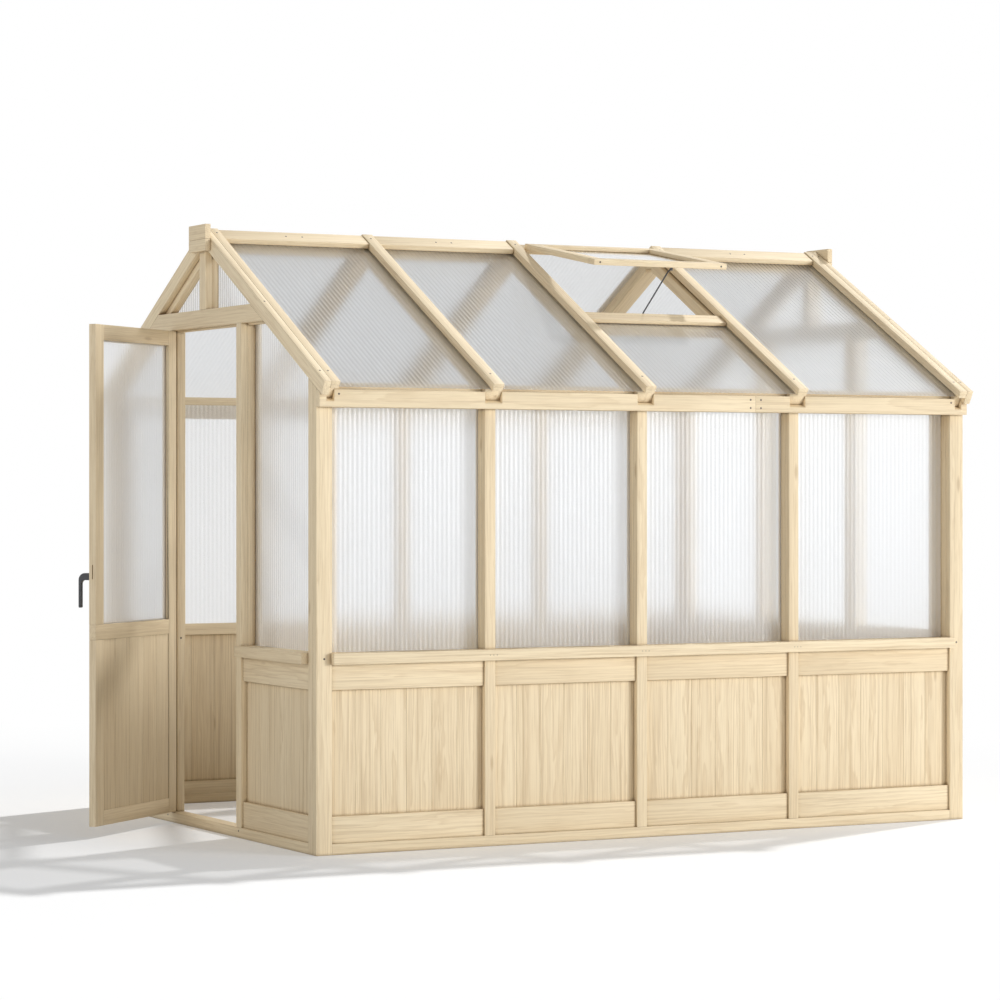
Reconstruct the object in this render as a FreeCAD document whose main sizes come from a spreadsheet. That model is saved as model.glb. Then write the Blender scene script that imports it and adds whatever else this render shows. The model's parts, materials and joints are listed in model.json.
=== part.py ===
# Walk-in wooden greenhouse with fluted sheets, an open door and a propped roof vent.
# Millimetres, +Z up. The origin is the middle of the doorway on the underside of the threshold,
# halfway through the wall. +X runs along the house to its rear gable, and -Y is the front wall.
import FreeCAD, Part
import math
import os
import re
import Sketcher

os.makedirs("parts", exist_ok=True)
doc = FreeCAD.newDocument("greenhouse")
sizes = doc.addObject("Spreadsheet::Sheet", "sizes")

# Driving dimensions

DIMENSIONS = {
    # the four clear bays of a long wall, from the door gable to the rear gable
    "bay_one": 534.5,
    "bay_two": 521,
    "bay_three": 549,
    "bay_four": 616.5,
    # half of a gable is a post, a side bay, a jamb and half of the doorway
    "side_bay": 523,
    "jamb_wide": 39,
    "doorway": 566,
    # wall timbers, in an outer and an inner layer
    "post_wide": 54,
    "post_deep": 60,
    "stud_wide": 37,
    "outer_layer": 24,
    "inner_layer": 26,
    "joint_gap": 0.3,
    "sole_tall": 34,
    "panel_tall": 556,
    "sill_tall": 35,
    "sill_proud": 24,
    "sill_set_in": 50,
    "window_tall": 762,
    "beam_tall": 54,
    "beam_proud": 24,
    "beam_splice": 1586,
    "plate_rise": 22.4,
    # lower panels
    "bottom_rail": 84,
    "top_rail": 80,
    "rail_set_back": 7.5,
    "board_set_back": 22,
    "board_thick": 12,
    "board_vee": 0.5,
    "inner_rail": 45,
    "window_rail": 15,
    # glazing
    "sheet_thick": 6,
    "sheet_gap": 4,
    "sheet_lap_low": 15,
    "sheet_lap_top": 48,
    "strip_thick": 8,
    "strip_wide": 40,
    "strip_rise": 23,
    # gable timbers
    "collar_low": 1672,
    "collar_tall": 58,
    "door_stop": 6,
    "king_wide": 50,
    "king_inner": 40,
    "cap_wide": 142,
    "cap_thick": 20,
    "cap_lower": 39,
    "cap_upper": 49,
    "cap_above": 8,
    # roof timbers
    "pitch": 29.06,
    "batten_cap": 14,
    "batten_spacer": 12,
    "batten_wide": 38,
    "spacer_set_in": 2,
    "batten_overhang": 62,
    "end_batten": 30,
    "barge_deep": 48,
    "rafter_wide": 60,
    "rafter_deep": 40,
    "tail_set_back": 25,
    "sheet_head": 24,
    "sheet_overhang": 45,
    "ridge_thick": 40,
    "ridge_deep": 34,
    "ridge_board": 70,
    "ridge_board_thick": 18,
    "ridge_board_drop": 4,
    # roof vent and its opening; distances down the slope start at the ridge line
    "vent_header": 45,
    "vent_seat": 12,
    "trimmer_edge": 557,
    "trimmer_wide": 36,
    "ledge_wide": 19,
    "vent_side_gap": 13,
    "vent_front_gap": 8,
    "vent_open": 19.4,
    "sash_thick": 20,
    "sash_rail": 45,
    "sash_front_rail": 38,
    "rebate": 8,
    "vent_axis_rise": 5,
    "vent_knuckle": 4,
    "vent_pin": 1.8,
    "vent_hinge_long": 60,
    "vent_hinge_inset": 80,
    "vent_leaf": 30,
    "leaf_thick": 2,
    # stay of the vent
    "stay_thick": 5,
    "stay_reach": 180.7,
    "stay_lean": 31.8,
    "stay_crook_out": 4,
    "stay_crook_down": 12,
    "stay_pivot_drop": 10,
    "stay_pivot_back": 11,
    "stay_along": 361.5,
    "stay_eye": 4.2,
    "stay_eye_thick": 6,
    "stay_pin": 1.6,
    "bracket_wide": 18,
    "rest_pin": 1.5,
    "rest_pin_long": 13,
    "rest_pin_offset": 1.5,
    # door
    "door_open": 50,
    "door_gap": 3,
    "door_thick": 24,
    "door_stile": 53,
    "door_top_rail": 50,
    "door_mid_low": 643,
    "door_mid_rail": 49,
    "door_bottom_rail": 49,
    "door_board": 16,
    "bead": 6,
    "bead_wide": 12,
    "hinge_proud": 5,
    "hinge_tall": 66,
    "hinge_leaf": 30,
    "hinge_knuckle": 4.5,
    "hinge_pin": 2.5,
    "pin_clearance": 0.06,
    "hinge_first": 200,
    "hinge_spacing": 640,
    # handle and latch
    "handle_tall": 848,
    "handle_inset": 26,
    "handle_reach": 50,
    "neck_tall": 23,
    "grip_thick": 8,
    "grip_wide": 14,
    "grip_drop": 86,
    "grip_curve": 12,
    "rose": 17,
    "rose_thick": 4,
    "spindle": 5,
    "spindle_clearance": 0.3,
    "tongue_long": 38,
    "tongue_wide": 14,
    "tongue_thick": 2.5,
    "mortise_clearance": 0.5,
    "keeper_thick": 1.5,
    "keeper_margin": 9,
    "keeper_pocket": 12,
    # screws
    "screw_head": 3.2,
    "screw_head_thick": 1.5,
    "screw_proud": 0.4,
    "screw_shank": 2,
    "screw_long": 18,
    "screw_pair": 60,
    "nail": 1.3,
    "nail_long": 40,
    "nail_proud": 0.3,
    "nail_spacing": 12,
}
BOARDS_PER_BAY = 6
BOARDS_IN_WIDE_BAY = 7
DOOR_BOARDS = 5
DOOR_HINGES = 3

for row, (name, value) in enumerate(DIMENSIONS.items(), start=1):
    sizes.set(f"A{row}", name)
    sizes.set(f"B{row}", str(value))
    sizes.setAlias(f"B{row}", name)
doc.recompute()

# Levels and lines that several pieces share, as expressions on the driving dimensions

WALL = "(outer_layer + inner_layer)"
LENGTH = "(2*post_wide + 3*stud_wide + bay_one + bay_two + bay_three + bay_four)"
DOOR_HALF = "(doorway/2)"
JAMB_SIDE = "(doorway/2 + jamb_wide)"
POST_SIDE = "(doorway/2 + jamb_wide + side_bay)"
HALF = "(doorway/2 + jamb_wide + side_bay + post_deep)"
PANEL_TOP = "(sole_tall + panel_tall)"
SILL_TOP = "(sole_tall + panel_tall + sill_tall)"
WINDOW_RAIL = "(sole_tall + panel_tall + sill_tall - window_rail)"
HEAD = "(sole_tall + panel_tall + sill_tall + window_tall)"
BEAM_TOP = "(sole_tall + panel_tall + sill_tall + window_tall + beam_tall)"
PLATE_TOP = "(sole_tall + panel_tall + sill_tall + window_tall + beam_tall + plate_rise)"
SHEET_FOOT = "(sole_tall + panel_tall + sill_tall - sheet_lap_low)"
SHEET_TOP = "(sole_tall + panel_tall + sill_tall + window_tall + sheet_lap_top)"
GLAZED = "(outer_layer + inner_layer + sheet_thick)"
COLLAR_TOP = "(collar_low + collar_tall)"
COLLAR_INNER = "(collar_low - door_stop)"
BATTEN = "(batten_cap + batten_spacer)"
SHEETED = "(batten_cap + batten_spacer + sheet_thick)"
RAFTERED = "(batten_cap + batten_spacer + sheet_thick + rafter_deep)"
APEX = f"({PLATE_TOP} + {SHEETED}/cos(pitch) + {HALF}*tan(pitch))"
BATTEN_END = f"(({HALF} + batten_overhang)/cos(pitch))"
RAFTER_END = f"({BATTEN_END} - tail_set_back)"
SHEET_END = f"(({HALF} + sheet_overhang)/cos(pitch))"
RIDGE_SIDE = "(ridge_thick/2 + joint_gap)"
END_BATTEN = "(outer_layer + joint_gap + end_batten)"
BAYS = ["bay_one", "bay_two", "bay_three", "bay_four"]
VENT_BAY = 2
LAST_BAY = 3
BOARDED_RIDGE_BAYS = (0, 1, 3)


def stud_low(number):
    """Low edge of stud 1, 2 or 3, from the outer face of the door gable."""
    return f"(post_wide + {number - 1}*stud_wide + {' + '.join(BAYS[:number])})"


def stud_middle(number):
    return f"({stud_low(number)} + stud_wide/2)"


def bay_span(number, inset="0"):
    """Clear stretch of a bay, from the outer face of the door gable."""
    low = "post_wide" if number == 0 else f"{stud_low(number)} + stud_wide"
    high = f"{LENGTH} - post_wide" if number == LAST_BAY else stud_low(number + 1)
    return f"({low} + {inset})", f"({high} - {inset})"


def between_middles(number, inset, end_inset):
    """Stretch of a bay between stud middles, drawn in by inset, or by end_inset at a gable."""
    low = end_inset if number == 0 else f"({stud_middle(number)} + {inset})"
    high = f"({LENGTH} - {end_inset})" if number == LAST_BAY else f"({stud_middle(number + 1)} - {inset})"
    return low, high


def off_middle(side, near, far):
    """Y range on one side of the middle of the house, low to high."""
    return (near, far) if side > 0 else (f"(0 - {far})", f"(0 - {near})")


def grown(span, by):
    return f"({span[0]} - {by})", f"({span[1]} + {by})"


def house_x(distance):
    """X of a distance behind the outer face of the door gable."""
    return f"({distance} - {WALL}/2)"


def house_span(low, high):
    return house_x(low), house_x(high)


def plumb(across, deep):
    """Distance down the slope of the point at this depth that is this far off the ridge line."""
    return f"(({across} + ({deep})*sin(pitch))/cos(pitch))"


def slope_point(along, deep, back):
    """Y and Z of a point of the roof.

    along runs down the slope from the ridge line, deep runs square to it from the battens' top
    face into the house, and back is True for the slope over the back wall.
    """
    across = f"(({along})*cos(pitch) - ({deep})*sin(pitch))"
    height = f"({APEX} - ({along})*sin(pitch) - ({deep})*cos(pitch))"
    return (across if back else f"(0 - {across})"), height


def roof_height(deep, off_ridge):
    """Height of a line in the roof slope, this far off the ridge line."""
    return f"({APEX} - ({off_ridge})*tan(pitch) - ({deep})/cos(pitch))"


def roof_half(deep, height):
    """How far off the ridge line the same line is at a height."""
    return f"(({APEX} - ({deep})/cos(pitch) - ({height}))/tan(pitch))"


# Builders of single solids

def bound(text):
    """Point each word of an expression that is a dimension at its cell."""
    return re.sub(r"[a-z_]+", lambda word: f"sizes.{word[0]}" if word[0] in DIMENSIONS else word[0], text)


def place(solid, at, axis=None, angle=None):
    """Bind the place of a solid to expressions, and its turn about an axis."""
    if axis:
        turned = FreeCAD.Rotation(FreeCAD.Vector(*axis), 30)
        solid.Placement = FreeCAD.Placement(FreeCAD.Vector(), turned)
        solid.setExpression("Placement.Rotation.Angle", bound(angle))
    for letter, text in zip("xyz", at):
        solid.setExpression(f"Placement.Base.{letter}", bound(text))
    return solid


def box(x, y, z, name="timber"):
    """Box between a low and a high coordinate along each axis."""
    solid = doc.addObject("Part::Box", name)
    for side, (low, high) in (("Length", x), ("Width", y), ("Height", z)):
        solid.setExpression(side, bound(f"({high}) - ({low})"))
    return place(solid, (x[0], y[0], z[0]))


def slope_box(x, along, deep, back, name="roof_timber"):
    """Box that lies in a roof slope."""
    solid = doc.addObject("Part::Box", name)
    for side, (low, high) in (("Length", x), ("Width", along), ("Height", deep)):
        solid.setExpression(side, bound(f"({high}) - ({low})"))
    y, z = slope_point(along[0] if back else along[1], deep[1], back)
    return place(solid, (x[0], y, z), (-1, 0, 0) if back else (1, 0, 0), "pitch")


def prism(role, outline, low, high, name="timber"):
    """Solid with a straight-sided outline on an origin plane, from low to high along its normal."""
    body = doc.addObject("PartDesign::Body", name)
    sketch = body.newObject("Sketcher::SketchObject", f"{name}_outline")
    plane = next(feature for feature in body.Origin.OriginFeatures if feature.Role == role)
    sketch.AttachmentSupport = [(plane, "")]
    sketch.MapMode = "FlatFace"
    count = len(outline)
    turns = [math.tau*i/count for i in range(count)]
    starts = [FreeCAD.Vector(100*math.cos(turn), 100*math.sin(turn), 0) for turn in turns]
    for i in range(count):
        sketch.addGeometry(Part.LineSegment(starts[i], starts[(i + 1) % count]))
    for i in range(count):
        sketch.addConstraint(Sketcher.Constraint("Coincident", i, 2, (i + 1) % count, 1))
    for i, (across, up) in enumerate(outline):
        for kind, text, start in (("DistanceX", across, starts[i].x), ("DistanceY", up, starts[i].y)):
            number = sketch.addConstraint(Sketcher.Constraint(kind, -1, 1, i, 1, start))
            sketch.setExpression(f"Constraints[{number}]", bound(text))
    pad = body.newObject("PartDesign::Pad", f"{name}_pad")
    pad.Profile = sketch
    pad.setExpression("Length", bound(f"({high}) - ({low})"))
    letter = {"XY_Plane": "z", "YZ_Plane": "x"}[role]
    body.setExpression(f"Placement.Base.{letter}", bound(low))
    return body


def slope_prism(x, near, end, deep, back, name="roof_timber"):
    """Roof timber with a plumb cut near the ridge line and a square one at its foot."""
    corners = [(plumb(near, deep[0]), deep[0]), (plumb(near, deep[1]), deep[1]), (end, deep[1]), (end, deep[0])]
    points = [slope_point(along, depth, back) for along, depth in corners]
    return prism("YZ_Plane", points, x[0], x[1], name)


def rod(radius, length, at, axis=None, angle=None, name="rod"):
    """Round bar whose foot is at a point, turned from upright about an axis."""
    solid = doc.addObject("Part::Cylinder", name)
    solid.setExpression("Radius", bound(radius))
    solid.setExpression("Height", bound(length))
    return place(solid, at, axis, angle)


def ball(radius, at):
    solid = doc.addObject("Part::Sphere", "ball")
    solid.setExpression("Radius", bound(radius))
    return place(solid, at)


def cut(base, *tools):
    """The base with each tool taken out of it."""
    for tool in tools:
        feature = doc.addObject("Part::Cut", "cut")
        feature.Base = base
        feature.Tool = tool
        base = feature
    return base


def fuse(*solids):
    feature = doc.addObject("Part::MultiFuse", "joined")
    feature.Shapes = list(solids)
    return feature


def group(name, solids):
    feature = doc.addObject("Part::Compound", name)
    feature.Links = list(solids)
    return feature


nodes = []


def node(label, *solids):
    """Gather the solids of one sub-part under the label that names its file."""
    gathered = group(label, solids)
    gathered.Label = label
    nodes.append(gathered)
    return gathered


class Wall:
    """A wall, measured behind its outer face and along it.

    face is the coordinate of the outer face, inward is 1 where the inside lies towards higher
    coordinates and otherwise -1, and a long wall is measured along from the door gable.
    """

    def __init__(self, face, inward, is_long):
        self.face = face
        self.inward = inward
        self.is_long = is_long

    def behind(self, depth):
        return f"({self.face} + ({self.inward})*({depth}))"

    def layer(self, depth):
        """The range of a layer between two depths, low to high."""
        ends = self.behind(depth[0]), self.behind(depth[1])
        return ends if self.inward > 0 else ends[::-1]

    def point(self, along, depth):
        return (house_x(along), self.behind(depth)) if self.is_long else (self.behind(depth), along)

    def box(self, along, depth, z, name="timber"):
        if self.is_long:
            return box(house_span(*along), self.layer(depth), z, name)
        return box(self.layer(depth), along, z, name)

    def boards(self, along, depth, z, count):
        """Upright boards side by side, whose long edges are eased on both faces."""
        low, high = along
        face, back = depth
        solids = []
        for i in range(count):
            near = f"({low} + ({high} - {low})*{i}/{count} + joint_gap/2)"
            far = f"({low} + ({high} - {low})*{i + 1}/{count} - joint_gap/2)"
            corners = [
                (f"({near} + board_vee)", face),
                (f"({far} - board_vee)", face),
                (far, f"({face} + board_vee)"),
                (far, f"({back} - board_vee)"),
                (f"({far} - board_vee)", back),
                (f"({near} + board_vee)", back),
                (near, f"({back} - board_vee)"),
                (near, f"({face} + board_vee)"),
            ]
            outline = [self.point(across, deep) for across, deep in corners]
            solids.append(prism("XY_Plane", outline, z[0], z[1], "board"))
        return solids


FRONT = Wall(f"(0 - {HALF})", 1, True)
BACK = Wall(HALF, -1, True)
DOOR_END = Wall(f"(0 - {WALL}/2)", 1, False)
REAR_END = Wall(house_x(LENGTH), -1, False)
LONG_WALLS = {"front": FRONT, "back": BACK}
SIDES = (-1, 1)
OUTER = ("0", "outer_layer")
INNER = ("(outer_layer + joint_gap)", WALL)
ALONG_X = ((0, 1, 0), "90")
ALONG_Y = ((-1, 0, 0), "90")


# Sole plates and corner posts

def sole_plates():
    z = ("0", "sole_tall")
    solids = [wall.box(("post_wide", f"({LENGTH} - post_wide)"), ("0", WALL), z) for wall in (FRONT, BACK)]
    for gable in (DOOR_END, REAR_END):
        solids.append(gable.box((f"(0 - {POST_SIDE})", POST_SIDE), ("0", WALL), z))
    node("sole_plates", *solids)


def corner_piece(wall, at_rear, depth):
    """Upright of a corner post, cut to the undersides of the barge and of the end rafter."""
    halves = []
    for low, high, deep in (("0", "outer_layer", "barge_deep"), ("outer_layer", "post_wide", RAFTERED)):
        if at_rear:
            low, high = f"({LENGTH} - {high})", f"({LENGTH} - {low})"
        outline = [(wall.behind(depth[0]), "0"), (wall.behind(depth[1]), "0")]
        for behind in depth[::-1]:
            outline.append((wall.behind(behind), roof_height(f"{deep} + joint_gap", f"{HALF} - {behind}")))
        halves.append(prism("YZ_Plane", outline, house_x(low), house_x(high), "post"))
    return fuse(*halves)


def corner_posts():
    corners = [(wall, at_rear) for wall in (FRONT, BACK) for at_rear in (False, True)]
    node("corner_boards", *[corner_piece(wall, at_rear, OUTER) for wall, at_rear in corners])
    stile = ("(outer_layer + joint_gap)", "post_deep")
    node("corner_stiles", *[corner_piece(wall, at_rear, stile) for wall, at_rear in corners])


# Long walls

def studs(name, wall):
    solids = []
    for number in (1, 2, 3):
        low, high = stud_low(number), f"({stud_low(number)} + stud_wide)"
        for near, far in (OUTER, INNER):
            outline = [(wall.behind(near), "sole_tall"), (wall.behind(far), "sole_tall")]
            for behind in (far, near):
                top = roof_height(f"{RAFTERED} + joint_gap", f"{HALF} - {behind}")
                outline.append((wall.behind(behind), top))
            solids.append(prism("YZ_Plane", outline, house_x(low), house_x(high), "stud"))
    node(f"studs_{name}", *solids)


def panel_frame(wall, span):
    """Rails of one lower panel, with the rail that the window stands on."""
    along = grown(span, "(0 - joint_gap)")
    face = ("rail_set_back", "board_set_back")
    behind = ("(board_set_back + board_thick)", WALL)
    return [
        wall.box(along, face, ("sole_tall", "(sole_tall + bottom_rail)")),
        wall.box(along, face, (f"({PANEL_TOP} - top_rail)", WINDOW_RAIL)),
        wall.box(along, behind, ("sole_tall", "(sole_tall + inner_rail)")),
        wall.box(along, ("0", WALL), (WINDOW_RAIL, SILL_TOP)),
    ]


def panel_boards(wall, along, count):
    depth = ("board_set_back", "(board_set_back + board_thick)")
    return wall.boards(along, depth, ("sole_tall", WINDOW_RAIL), count)


def gable_bays(gable):
    """Bays of a gable as Y ranges; at the door end the doorway takes the middle one."""
    bays = [off_middle(side, JAMB_SIDE, POST_SIDE) for side in SIDES]
    if gable is REAR_END:
        bays.append((f"(0 - {DOOR_HALF})", DOOR_HALF))
    return bays


def lower_walls():
    for name, wall in LONG_WALLS.items():
        spans = [bay_span(number) for number in range(LAST_BAY + 1)]
        node(f"panel_frame_{name}", *[rail for span in spans for rail in panel_frame(wall, span)])
        boards = []
        for number, span in enumerate(spans):
            boards += panel_boards(wall, span, BOARDS_IN_WIDE_BAY if number == LAST_BAY else BOARDS_PER_BAY)
        node(f"panel_boards_{name}", *boards)
    gables = [(gable, span) for gable in (DOOR_END, REAR_END) for span in gable_bays(gable)]
    node("panel_frame_gables", *[rail for gable, span in gables for rail in panel_frame(gable, span)])
    boards = [board for gable, span in gables for board in panel_boards(gable, span, BOARDS_PER_BAY)]
    node("panel_boards_gables", *boards)


def window_sills():
    """Sill boards on the face of the walls, under the windows."""
    proud = ("(0 - sill_proud)", "0")
    z = (PANEL_TOP, SILL_TOP)
    long_sill = ("sill_set_in", f"({LENGTH} - sill_set_in)")
    sills = [wall.box(long_sill, proud, z, "sill") for wall in (FRONT, BACK)]
    sills += [DOOR_END.box(off_middle(side, JAMB_SIDE, POST_SIDE), proud, z, "sill") for side in SIDES]
    sills.append(REAR_END.box((f"(0 - {POST_SIDE})", POST_SIDE), proud, z, "sill"))
    node("window_sills", *sills)


def head_plates(name, wall):
    """Rails over the windows, and the plates between the rafters that the roof sheets lie on."""
    solids = []
    rail_top = f"({PLATE_TOP} - rafter_deep/cos(pitch))"
    for number in range(LAST_BAY + 1):
        solids.append(wall.box(bay_span(number, "joint_gap"), ("0", WALL), (HEAD, rail_top)))
        along = between_middles(number, "(rafter_wide/2 + joint_gap)", "(post_wide + joint_gap)")
        solids.append(wall.box(along, ("0", WALL), (rail_top, f"({PLATE_TOP} - joint_gap)")))
    node(f"head_plates_{name}", *solids)


def eave_beam(name, wall, back):
    """Beam on the face of the studs in two lengths, notched for the barges and rafters."""
    ends = [("(0 - outer_layer)", "(outer_layer + joint_gap)", "barge_deep")]
    ends.append(("outer_layer", f"({WALL} + joint_gap)", RAFTERED))
    spans = ends + [(f"({LENGTH} - {high})", f"({LENGTH} - {low})", deep) for low, high, deep in ends]
    for number in (1, 2, 3):
        low, high = grown((stud_middle(number), stud_middle(number)), "(rafter_wide/2 + joint_gap)")
        spans.append((low, high, RAFTERED))
    along = (f"({HALF}/cos(pitch) - rafter_deep)", f"({BATTEN_END} + rafter_deep)")
    notches = fuse(*[
        slope_box(house_span(low, high), along, ("0", f"({deep} + joint_gap)"), back, "notch")
        for low, high, deep in spans
    ])
    lengths = [("0", "(beam_splice - joint_gap/2)"), ("(beam_splice + joint_gap/2)", LENGTH)]
    proud = ("(0 - beam_proud)", "0")
    beams = [wall.box(span, proud, (HEAD, BEAM_TOP), "beam") for span in lengths]
    node(f"eave_beam_{name}", *[cut(beam, notches) for beam in beams])


# Wall sheets and the strips that hold them from inside

def wall_sheets(name, wall):
    spans = [between_middles(i, "sheet_gap/2", "(post_wide + joint_gap)") for i in range(LAST_BAY + 1)]
    z = (SHEET_FOOT, SHEET_TOP)
    node(f"wall_sheets_{name}", *[wall.box(span, (WALL, GLAZED), z, "sheet") for span in spans])


def gable_sheets(name, gable):
    """Side panes, a pane over the collar and, at the rear, one over the middle panel."""
    seam = "(doorway/2 + jamb_wide/2)"
    edge = f"({seam} + sheet_gap/2)"
    outer = f"({POST_SIDE} - joint_gap)"
    lap = f"({SHEETED} + rafter_deep/2)"
    low_top = f"(({COLLAR_INNER} + {COLLAR_TOP} - sheet_gap)/2)"
    high_foot = f"(({COLLAR_INNER} + {COLLAR_TOP} + sheet_gap)/2)"
    side_pane = [
        (outer, SHEET_FOOT),
        (edge, SHEET_FOOT),
        (edge, low_top),
        (roof_half(lap, low_top), low_top),
        (outer, roof_height(lap, outer)),
    ]
    peak = [(roof_half(lap, high_foot), high_foot), ("(king_inner/2)", roof_height(lap, "king_inner/2"))]
    outlines = [side_pane, [(f"(0 - {y})", z) for y, z in side_pane]]
    outlines.append(peak + [(f"(0 - {y})", z) for y, z in peak[::-1]])
    if gable is REAR_END:
        right, left = f"({seam} - sheet_gap/2)", f"(sheet_gap/2 - {seam})"
        outlines.append([(left, SHEET_FOOT), (right, SHEET_FOOT), (right, low_top), (left, low_top)])
    x = gable.layer((WALL, GLAZED))
    node(f"gable_sheets_{name}", *[prism("YZ_Plane", outline, x[0], x[1], "pane") for outline in outlines])


def cover_strips():
    """Strips behind the edges of the wall sheets; they stand higher under the back and rear panes."""
    depth = (GLAZED, f"({GLAZED} + strip_thick)")
    upright_z = (SHEET_FOOT, SHEET_TOP)
    low = (SHEET_FOOT, f"({SILL_TOP} - joint_gap)")
    high = (f"({SILL_TOP} + strip_rise - strip_wide)", f"({SILL_TOP} + strip_rise)")
    solids = []
    for wall in (FRONT, BACK):
        first = (f"({GLAZED} + joint_gap)", f"({GLAZED} + joint_gap + strip_wide)")
        uprights = [first] + [grown((stud_middle(n), stud_middle(n)), "strip_wide/2") for n in (1, 2, 3)]
        uprights.append(tuple(f"({LENGTH} - {edge})" for edge in first[::-1]))
        solids += [wall.box(along, depth, upright_z, "strip") for along in uprights]
        for left, right in zip(uprights, uprights[1:]):
            along = grown((left[1], right[0]), "(0 - joint_gap)")
            solids.append(wall.box(along, depth, low if wall is FRONT else high, "strip"))
    post_edge = f"({HALF} - {GLAZED} - strip_thick - joint_gap)"
    post = (f"({post_edge} - strip_wide)", post_edge)
    jamb_z = (SHEET_FOOT, f"({COLLAR_TOP} - strip_wide)")
    ends = [(DOOR_END, "(doorway/2 + jamb_wide/2)", low), (REAR_END, f"({DOOR_HALF} - door_stop)", high)]
    for gable, jamb_edge, foot_z in ends:
        jamb = (jamb_edge, f"({jamb_edge} + strip_wide)")
        between = grown((jamb[1], post[0]), "(0 - joint_gap)")
        for side in SIDES:
            solids.append(gable.box(off_middle(side, *post), depth, upright_z, "strip"))
            solids.append(gable.box(off_middle(side, *jamb), depth, jamb_z, "strip"))
            solids.append(gable.box(off_middle(side, *between), depth, foot_z, "strip"))
    middle = f"({DOOR_HALF} - door_stop - joint_gap)"
    solids.append(REAR_END.box((f"(0 - {middle})", middle), depth, high, "strip"))
    node("cover_strips", *solids)


# Gables

def latch_slot(near, far):
    """Room in the near jamb, or in its keeper, for the latch tongue to turn in."""
    across = off_middle(-1, f"({DOOR_HALF} + {near})", f"({DOOR_HALF} + {far})")
    depth = grown(("door_thick/2", "door_thick/2"), "(tongue_thick/2 + mortise_clearance)")
    z = ("(handle_tall - tongue_wide/2 - mortise_clearance)", "(handle_tall + tongue_long)")
    return DOOR_END.box(across, depth, z, "slot")


def door_jambs():
    """Jambs in two layers; the inner layer stands into the doorway as the door's stop."""
    solids = []
    for side in SIDES:
        face = off_middle(side, DOOR_HALF, JAMB_SIDE)
        outer = DOOR_END.box(face, OUTER, ("sole_tall", "collar_low"), "jamb")
        solids.append(cut(outer, latch_slot("0", "keeper_pocket")) if side < 0 else outer)
        stop = off_middle(side, f"({DOOR_HALF} - door_stop)", JAMB_SIDE)
        solids.append(DOOR_END.box(stop, INNER, ("sole_tall", COLLAR_INNER), "jamb"))
    node("door_jambs", *solids)


def latch_keeper():
    """Plate on the near jamb with a slot for the tongue."""
    face = off_middle(-1, f"({DOOR_HALF} - keeper_thick)", DOOR_HALF)
    depth = grown(("door_thick/2", "door_thick/2"), "keeper_margin")
    z = grown(("(handle_tall - tongue_wide/2)", "(handle_tall + tongue_long)"), "keeper_margin")
    plate = DOOR_END.box(face, depth, z, "keeper")
    node("latch_keeper", cut(plate, latch_slot("(0 - 2*keeper_thick)", "keeper_pocket")))


def rear_studs():
    solids = []
    for side in SIDES:
        across = off_middle(side, DOOR_HALF, JAMB_SIDE)
        solids.append(REAR_END.box(across, OUTER, ("sole_tall", "collar_low"), "stud"))
        solids.append(REAR_END.box(across, INNER, ("sole_tall", COLLAR_INNER), "stud"))
    node("rear_studs", *solids)


def gable_collars():
    """Collars over the door and the rear middle bay, in two layers between the roof timbers."""
    solids = []
    for gable in (DOOR_END, REAR_END):
        for layer, low, deep in ((OUTER, "collar_low", "barge_deep"), (INNER, COLLAR_INNER, RAFTERED)):
            lap = f"({deep} + joint_gap)"
            right = [(roof_half(lap, low), low), (roof_half(lap, COLLAR_TOP), COLLAR_TOP)]
            left = [(f"(0 - {y})", z) for y, z in right[::-1]]
            solids.append(prism("YZ_Plane", right + left, *gable.layer(layer), "collar"))
    node("gable_collars", *solids)


def king_posts():
    solids = []
    foot = f"({COLLAR_TOP} + joint_gap)"
    lap = "(barge_deep + joint_gap)"
    for gable in (DOOR_END, REAR_END):
        shoulder = roof_height(lap, "king_wide/2")
        right = [("(king_wide/2)", foot), ("(king_wide/2)", shoulder), ("0", roof_height(lap, "0"))]
        left = [("(0 - king_wide/2)", shoulder), ("(0 - king_wide/2)", foot)]
        solids.append(prism("YZ_Plane", right + left, *gable.layer(OUTER), "king_post"))
        top = f"({roof_height(SHEETED, 'king_inner/2')} - joint_gap)"
        solids.append(gable.box(("(0 - king_inner/2)", "(king_inner/2)"), INNER, (foot, top), "king_post"))
    node("king_posts", *solids)


def ridge_caps():
    """Two boards across the peak of each gable."""
    top = f"({APEX} + cap_above)"
    joint = f"({top} - cap_upper)"
    across = ("(0 - cap_wide/2)", "(cap_wide/2)")
    solids = []
    for gable in (DOOR_END, REAR_END):
        for z in ((joint, top), (f"({joint} - cap_lower)", f"({joint} - joint_gap)")):
            solids.append(gable.box(across, ("(0 - cap_thick)", "0"), z, "cap"))
    node("ridge_caps", *solids)


# Roof frame

def end_spans(low, high):
    """X ranges of a piece that lies this far in from the outer face of each gable."""
    return [house_span(low, high), house_span(f"({LENGTH} - {high})", f"({LENGTH} - {low})")]


def middle_spans(half):
    return [house_span(*grown((stud_middle(n), stud_middle(n)), half)) for n in (1, 2, 3)]


def barge_rafters():
    node("barge_rafters", *[
        slope_prism(x, "joint_gap", BATTEN_END, ("0", "barge_deep"), back, "barge")
        for back in (False, True) for x in end_spans(*OUTER)
    ])


def rafters(name, back):
    spans = end_spans(*INNER) + middle_spans("rafter_wide/2")
    depth = (SHEETED, RAFTERED)
    node(f"rafters_{name}", *[slope_prism(x, RIDGE_SIDE, RAFTER_END, depth, back, "rafter") for x in spans])


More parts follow.
